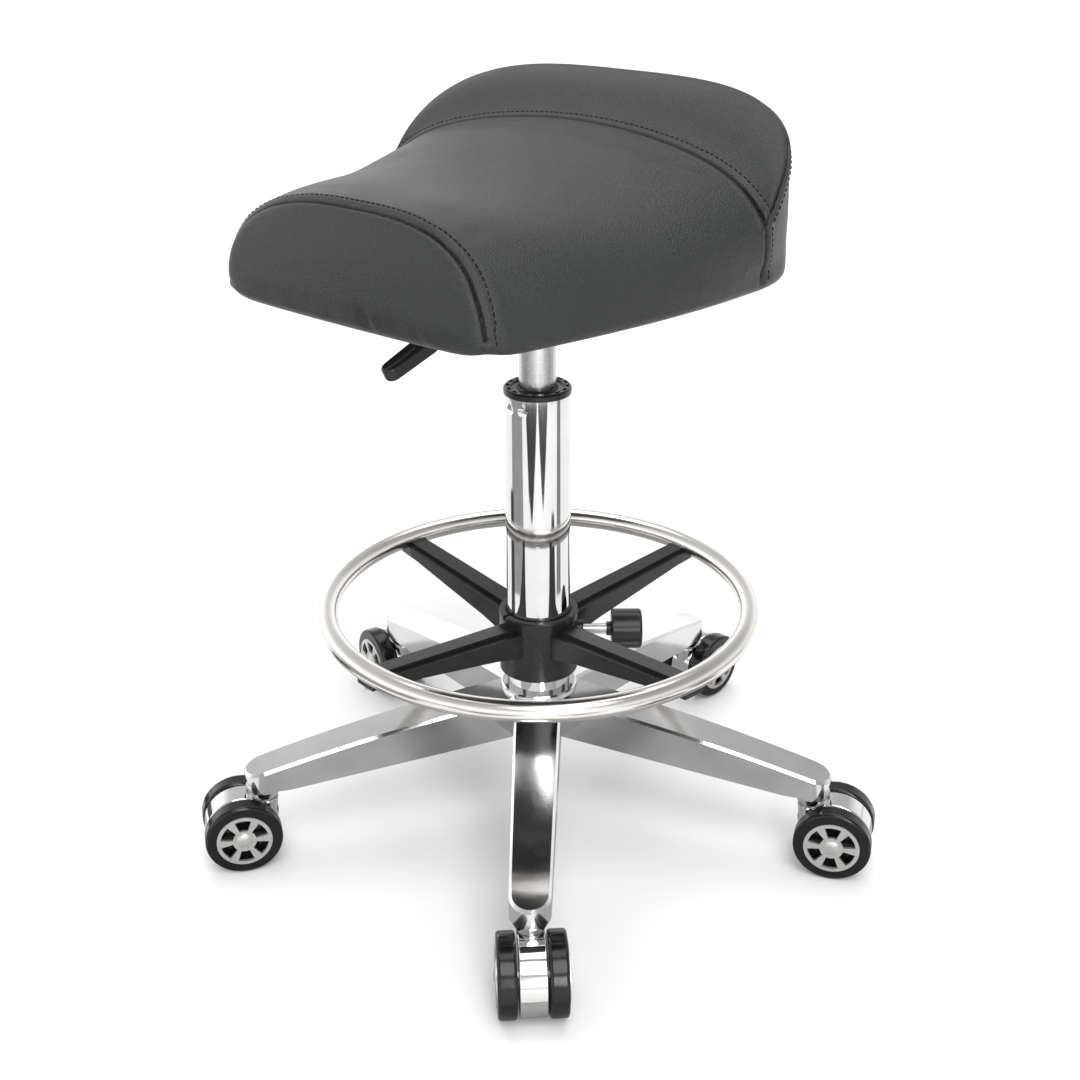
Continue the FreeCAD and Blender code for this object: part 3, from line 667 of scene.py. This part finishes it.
def mesh_object(name, points, faces):
    """Object from points in metres and faces, with outward normals and smooth shading."""
    mesh = bpy.data.meshes.new(name)
    mesh.from_pydata([tuple(p) for p in points], [], faces)
    work = bmesh.new()
    work.from_mesh(mesh)
    bmesh.ops.recalc_face_normals(work, faces=work.faces)
    work.to_mesh(mesh)
    work.free()
    mesh.shade_smooth()
    piece = bpy.data.objects.new(name, mesh)
    bpy.context.scene.collection.objects.link(piece)
    return piece


def close_pocket(mesh):
    """Closes the open top of the board pocket."""
    work = bmesh.new()
    work.from_mesh(mesh)
    rim = [e for e in work.edges if e.is_boundary]
    bmesh.ops.triangle_fill(work, edges=rim, use_beauty=False, use_dissolve=False)
    bmesh.ops.recalc_face_normals(work, faces=work.faces)
    work.to_mesh(mesh)
    work.free()


def coords(mesh):
    """Vertex places as an array."""
    out = np.empty(len(mesh.vertices) * 3)
    mesh.vertices.foreach_get("co", out)
    return out.reshape(-1, 3)


def set_coords(mesh, points):
    """Writes vertex places."""
    mesh.vertices.foreach_set("co", np.asarray(points, float).ravel())
    mesh.update()


def normals(mesh):
    """Vertex normals as an array."""
    out = np.empty(len(mesh.vertices) * 3)
    mesh.vertices.foreach_get("normal", out)
    return out.reshape(-1, 3)


def distances(points, line):
    """Distance of each point from a densely sampled line, and the place along it."""
    tree = KDTree(len(line))
    for k, p in enumerate(line):
        tree.insert(p, k)
    tree.balance()
    found = [tree.find(p) for p in points]
    return np.array([f[2] for f in found]), np.array([f[1] for f in found])


def applied(piece):
    """Replaces an object's mesh by its evaluated one and clears its modifiers."""
    graph = bpy.context.evaluated_depsgraph_get()
    mesh = bpy.data.meshes.new_from_object(piece.evaluated_get(graph))
    piece.modifiers.clear()
    piece.data = mesh


def loose_share(points, seam_points):
    """How free each point of the leather is: none at a seam or the lower edge, full far from both."""
    held, _ = distances(points, seam_points)
    above = np.clip(points[:, 2] - (SEAT_LOW + EDGE_R) * MM, 0, None)
    return np.clip(np.minimum(held, above * 1.6) / (FREE_AT * MM), 0, 1)


def inflate(piece, seam_points):
    """Blows a coarse copy of the leather out against its seams by cloth pressure, caps how far
    each point moves, and carries the movement over to the piece."""
    coarse = bpy.data.objects.new("seat_swell", piece.data.copy())
    bpy.context.scene.collection.objects.link(coarse)
    close_pocket(coarse.data)
    remesh = coarse.modifiers.new("remesh", "REMESH")
    remesh.mode = "VOXEL"
    remesh.voxel_size = SWELL_VOXEL
    applied(coarse)
    start = coords(coarse.data)
    loose = loose_share(start, seam_points)
    set_coords(coarse.data, start - normals(coarse.data) * (SWELL_INSIDE * MM * loose)[:, None])
    before = coords(coarse.data)
    pins = coarse.vertex_groups.new(name="pins")
    for k in np.flatnonzero(loose < HELD_BELOW):
        pins.add([int(k)], 1.0, "REPLACE")
    cloth = coarse.modifiers.new("cloth", "CLOTH")
    settings = cloth.settings
    settings.quality = 5
    settings.mass = 0.4
    settings.tension_stiffness = 60
    settings.compression_stiffness = 60
    settings.shear_stiffness = 20
    settings.bending_stiffness = 2.0
    settings.use_pressure = True
    settings.uniform_pressure_force = SWELL_PRESSURE
    settings.effector_weights.gravity = 0.0
    settings.vertex_group_mass = "pins"
    scene = bpy.context.scene
    for f in range(1, SWELL_FRAMES + 1):
        scene.frame_set(f)
    graph = bpy.context.evaluated_depsgraph_get()
    after = coords(coarse.evaluated_get(graph).data)
    moved = after - start
    size = np.linalg.norm(moved, axis=1)[:, None]
    moved *= SWELL_CAP * np.tanh(size / SWELL_CAP) / np.maximum(size, 1e-9)
    near = KDTree(len(start))
    for k, p in enumerate(start):
        near.insert(p, k)
    near.balance()
    places = coords(piece.data)
    shift = np.zeros_like(places)
    for k, p in enumerate(places):
        found = near.find_n(p, 10)
        weight = np.array([math.exp(-(f[2] / SWELL_VOXEL) ** 2) for f in found])
        shift[k] = (moved[[f[1] for f in found]] * weight[:, None]).sum(axis=0) / weight.sum()
    shift *= np.clip(loose_share(places, seam_points) * 4, 0, 1)[:, None]
    set_coords(piece.data, places + shift)
    bpy.data.objects.remove(coarse)
    scene.frame_set(1)
    return float(size.max())


def along_seam(path, step):
    """Points along a path at about equal steps."""
    length = np.linalg.norm(np.diff(path, axis=0), axis=1).sum()
    return even(path, max(2, int(round(length / step))))


def inset(lines, distance):
    """Point at a set distance along each of many lines that start on a seam."""
    found = []
    for line in lines:
        step = np.r_[0, np.cumsum(np.linalg.norm(np.diff(line, axis=0), axis=1))]
        found.append([np.interp(distance, step, line[:, k]) for k in range(3)])
    return np.array(found)


def capsule(start, end, lift, radius):
    """Points and faces of one stitch: a short thread that dips into the leather at both ends."""
    run = end - start
    length = np.linalg.norm(run)
    run = run / length
    side = np.cross(lift, run)
    side /= np.linalg.norm(side)
    up = np.cross(run, side)
    points, faces = [], []
    for share, size, high in ((0.0, 0.45, -0.7), (0.12, 0.9, 0.0), (0.5, 1.0, 0.5),
                              (0.88, 0.9, 0.0), (1.0, 0.45, -0.7)):
        centre = start + run * length * share + up * high * radius
        for k in range(STITCH_SIDES):
            turn = 2 * math.pi * k / STITCH_SIDES
            points.append(centre + (side * math.cos(turn) + up * math.sin(turn)) * radius * size)
    for ring in range(4):
        for k in range(STITCH_SIDES):
            m = (k + 1) % STITCH_SIDES
            a = ring * STITCH_SIDES
            faces.append((a + k, a + m, a + STITCH_SIDES + m, a + STITCH_SIDES + k))
    faces.append(tuple(range(STITCH_SIDES))[::-1])
    faces.append(tuple(range(4 * STITCH_SIDES, 5 * STITCH_SIDES)))
    return points, faces


def sew(name, lines, tree, radius, long, pitch, sunk):
    """One object of thread stitches along lines that lie on the leather."""
    points, faces = [], []
    for line in lines:
        length = np.linalg.norm(np.diff(line, axis=0), axis=1).sum()
        count = int(length / pitch)
        for k in range(count):
            ends = at_shares(line, np.array([k * pitch, k * pitch + long]) / length)
            placed = []
            for p in ends:
                on, out, _, _ = tree.find_nearest(Vector(p))
                placed.append((np.array(on) + np.array(out) * (radius * 0.35 - sunk), np.array(out)))
            (start, up_a), (end, up_b) = placed
            if np.linalg.norm(end - start) < long * 0.4:
                continue
            new, loops = capsule(start, end, up_a + up_b, radius)
            faces += [tuple(v + len(points) for v in loop) for loop in loops]
            points += new
    piece = mesh_object(name, points, faces)
    piece.data.materials.append(THREAD)
    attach(piece, "seat")
    return piece


def bell(x, width):
    """Smooth bump of height one."""
    return np.exp(-(x / width) ** 2)


def facing(points, out, line):
    """Smoothed normals of the leather along a seam."""
    near = KDTree(len(points))
    for k, p in enumerate(points):
        near.insert(p, k)
    near.balance()
    away = np.array([out[near.find(p)[1]] for p in line])
    for _ in range(8):
        away[1:-1] = (away[:-2] + away[1:-1] + away[2:]) / 3
    return away / np.linalg.norm(away, axis=1)[:, None]


def soften(points, out, path, radii):
    """Rounds the sharp fold along a seam; returns the points and the seam, which moves in with them.
    The radii, in millimetres, are those at the underside and at the top of the sitting area."""
    line = along_seam(path, 0.0015)
    away = facing(points, out, line)
    rise = np.clip((line[:, 2] / MM - SEAT_LOW) / FRONT_HIGH, 0, 1)
    radius = (radii[0] + (radii[1] - radii[0]) * rise) * MM
    far, at = distances(points, line)
    share = np.clip(1 - far / radius[at], 0, 1) ** 2
    drawn = away * (FOLD_R * radius)[:, None]
    return points - drawn[at] * share[:, None], line - drawn


def press_seams(points, out, panel, seams):
    """Presses the seam valleys, the folded edges beside them and the rows of topstitching."""
    height = np.zeros(len(points))
    for path, stitched in seams:
        far, _ = distances(points, along_seam(path, 0.0012))
        d = far / MM
        on = panel == stitched
        groove = -GROOVE * bell(d, 0.8)
        folded = 0.7 * np.clip((d - 0.6) / 1.3, 0, 1) * np.clip((8.6 - d) / 2.4, 0, 1)
        dip = -0.6 * bell(d - TOPSTITCH / MM, 0.8)
        plain = 0.35 * bell(d - 3.0, 2.2)
        height += groove + np.where(on, folded + dip, plain) * (d < 12)
    return points + out * height[:, None] * MM


def pull_edge(points, out):
    """Small pulls and puckers where the leather is drawn under the board."""
    local = (points[:, 2] / MM - SEAT_LOW)
    turn = np.arctan2(points[:, 1], points[:, 0])
    wave = (np.sin(turn * 23 + 0.6) + np.sin(turn * 41 + 2.1) + np.sin(turn * 67 + 4.0) * 0.6) / 2.6
    low = np.clip(1 - local / 30, 0, 1) ** 2 * np.clip(local / 4 + 0.3, 0, 1)
    height = 0.42 * wave * low
    c, n = math.cos(SEAT_BACK), math.sin(SEAT_BACK)
    w = (points[:, 0] * n - points[:, 1] * c) / MM
    s = (points[:, 0] * c + points[:, 1] * n) / MM
    corner = np.hypot(s - FRONT_S, np.abs(w) - FRONT_HALF)
    drawn = CORNER_RISE * bell(corner, CORNER_R) * np.clip(1 - local / 34, 0, 1)
    points = points + np.outer(drawn, (0, 0, MM))
    for (at_s, at_w, at_h), (wide, tall), deep in PUCKERS:
        near = np.abs(s - at_s) < 40
        lean = (w - at_w) + 0.35 * (local - at_h)
        height += near * (-deep * bell(lean, wide) * bell(local - at_h, tall)
                          + 0.5 * deep * bell(lean - wide * 1.7, wide * 0.8) * bell(local - at_h, tall))
    return points + out * height[:, None] * MM


shell, top_grid, front_grid, lip_grid, back_grid = seat_shell()
seat = mesh_object("seat_leather", to_world(np.array(shell.points)), shell.faces)

front_seam = to_world(top_grid[0])
rear_line = to_world(top_grid[-1][STEP_COUNT:STEP_COUNT + ARCH_COUNT + 1])
crest_line = to_world(lip_grid[-1])
side_near = to_world(top_grid[-1][:STEP_COUNT + 1])
side_far = to_world(top_grid[-1][STEP_COUNT + ARCH_COUNT:])
back_line = np.vstack([side_near[:-1], crest_line, side_far[1:]])

swell = inflate(seat, np.vstack([along_seam(v, 0.004) for v in (front_seam, rear_line, back_line)]))
print("seat swell before the cap, mm: %.1f" % (swell / MM))

divide = seat.modifiers.new("divide", "SUBSURF")
divide.levels = divide.render_levels = 1
divide.boundary_smooth = "PRESERVE_CORNERS"
applied(seat)
close_pocket(seat.data)
places = coords(seat.data)
centres = KDTree(len(shell.faces))
for k, loop in enumerate(shell.faces):
    centres.insert(np.mean([to_world(shell.points[v]) for v in loop], axis=0), k)
centres.balance()
panel_of = np.array([shell.panel[centres.find(p)[1]] for p in places])
places, front_seam = soften(places, normals(seat.data), front_seam, FRONT_FOLD)
places, back_line = soften(places, normals(seat.data), back_line, BACK_FOLD)
set_coords(seat.data, places)
seam_rows = []
for path in (front_seam, rear_line, back_line):
    path = along_seam(path, 0.003)
    seam_rows.append(path - facing(places, normals(seat.data), path) * GROOVE * MM)
places = press_seams(places, normals(seat.data), panel_of,
                     ((front_seam, TOP), (rear_line, LIP), (back_line, BACK)))
set_coords(seat.data, places)
set_coords(seat.data, pull_edge(places, normals(seat.data)))
seat.data.shade_smooth()
seat.data.materials.clear()
seat.data.materials.append(LOOKS["black_leather"])
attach(seat, "seat")
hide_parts("seat_cover", "seat_foam")

whole = BVHTree.FromPolygons([v.co for v in seat.data.vertices],
                             [tuple(p.vertices) for p in seat.data.polygons])
top_lines = to_world(top_grid).transpose(1, 0, 2)
lip_lines = to_world(lip_grid).transpose(1, 0, 2)[ENDS:-ENDS]
back_lines = to_world(back_grid)[:-ENDS]
crest_lines = to_world(back_grid)[::-1].transpose(1, 0, 2)[ENDS:-ENDS]
top_rows = [along_seam(inset(lines, TOPSTITCH), 0.003)
            for lines in (top_lines, lip_lines, back_lines, back_lines[:, ::-1], crest_lines)]
sew("seat_topstitches", top_rows, whole, radius=0.00048, long=0.0033, pitch=0.0045, sunk=0.00004)
sew("seat_seam_stitches", seam_rows, whole, radius=0.00062, long=0.0041, pitch=0.0042, sunk=-0.0001)

# ==== stage ===================================================================
bpy.ops.mesh.primitive_plane_add(size=60)
floor = bpy.context.object
floor.name = "floor"
paper = Look("floor_paper", Roughness=0.7, Specular_IOR_Level=0.2)
paper.colour(paper.noise(3, 2), [(0.3, (0.86, 0.86, 0.86)), (0.7, (0.88, 0.88, 0.88))])
floor.data.materials.append(paper.mat)


def flag(index, azimuth, near_angle, far_angle, near, far, tone):
    """Dark card on the floor that only reflections see, which gives bright metal its dark bands."""
    name = "flag_%d" % index
    high = FLAG_HIGH + FLAG_STEP * index
    count = max(2, int(max(near_angle, far_angle) / 3))
    points, faces = [], []
    for k in range(count + 1):
        share = 2 * k / count - 1
        for distance, half in ((near, near_angle), (far, far_angle)):
            turn = math.radians(azimuth + half * share)
            points.append((distance * math.cos(turn), distance * math.sin(turn), high))
        if k:
            faces.append((2 * k - 2, 2 * k - 1, 2 * k + 1, 2 * k))
    mesh = bpy.data.meshes.new(name)
    mesh.from_pydata(points, [], faces)
    card = bpy.data.objects.new(name, mesh)
    bpy.context.scene.collection.objects.link(card)
    felt_card = Look(name + "_felt", Roughness=0.9)
    felt_card.colour(felt_card.noise(20, 2), [(0.3, grey(tone)), (0.7, grey(tone * 1.3))])
    card.data.materials.append(felt_card.mat)
    card.visible_camera = False
    card.visible_diffuse = False
    card.visible_shadow = False


for k, spec in enumerate(FLAGS):
    flag(k, *spec)

world = bpy.context.scene.world or bpy.data.worlds.new("studio")
bpy.context.scene.world = world
world.use_nodes = True
sky = world.node_tree
backdrop = sky.nodes["Background"]
direction = sky.nodes.new("ShaderNodeTexCoord")
parts = sky.nodes.new("ShaderNodeSeparateXYZ")
sky.links.new(direction.outputs["Generated"], parts.inputs[0])
ramp = sky.nodes.new("ShaderNodeValToRGB")
for _ in SKY[2:]:
    ramp.color_ramp.elements.new(0.5)
for stop, (height, tone) in zip(ramp.color_ramp.elements, SKY):
    stop.position = height
    stop.color = (tone, tone, tone, 1)
sky.links.new(parts.outputs["Z"], ramp.inputs["Fac"])
sky.links.new(ramp.outputs["Color"], backdrop.inputs["Color"])
lean = sky.nodes.new("ShaderNodeMath")
lean.operation = "MULTIPLY_ADD"
lean.inputs[1].default_value = SKY_LEAN
lean.inputs[2].default_value = 1.0
sky.links.new(parts.outputs["X"], lean.inputs[0])
sky.links.new(lean.outputs[0], backdrop.inputs["Strength"])


def lamp(name, data, place, target):
    """Light at a place, aimed at a target."""
    light = bpy.data.objects.new(name, data)
    light.location = place
    light.rotation_euler = (Vector(target) - Vector(place)).to_track_quat("-Z", "Y").to_euler()
    bpy.context.scene.collection.objects.link(light)


for name, azimuth, height, size, strength in SUNS:
    sun = bpy.data.lights.new(name, "SUN")
    sun.angle = math.radians(size)
    sun.energy = strength
    turn = math.radians(azimuth)
    rise = math.radians(height)
    flat = 3 * math.cos(rise)
    lamp(name, sun, (flat * math.cos(turn), flat * math.sin(turn), 3 * math.sin(rise)), (0, 0, 0))
spot, target, size, watts = FRONT_LIGHT
front_box = bpy.data.lights.new("front", "AREA")
front_box.shape = "RECTANGLE"
front_box.size, front_box.size_y = size
front_box.energy = watts
lamp("front", front_box, spot, target)

camera = bpy.data.objects.new("camera", bpy.data.cameras.new("camera"))
bpy.context.scene.collection.objects.link(camera)
camera.data.lens = LENS
camera.data.sensor_width = SENSOR
forward = Vector((math.sin(YAW) * math.cos(PITCH), math.cos(YAW) * math.cos(PITCH), -math.sin(PITCH)))
right = Vector((math.cos(YAW), -math.sin(YAW), 0))
up = right.cross(forward)
camera.matrix_world = Matrix.Translation(CAMERA_PLACE) @ Matrix((
    right * math.cos(ROLL) + up * math.sin(ROLL),
    up * math.cos(ROLL) - right * math.sin(ROLL), -forward)).transposed().to_4x4()
bpy.context.scene.camera = camera
bpy.context.scene.view_settings.view_transform = "Standard"
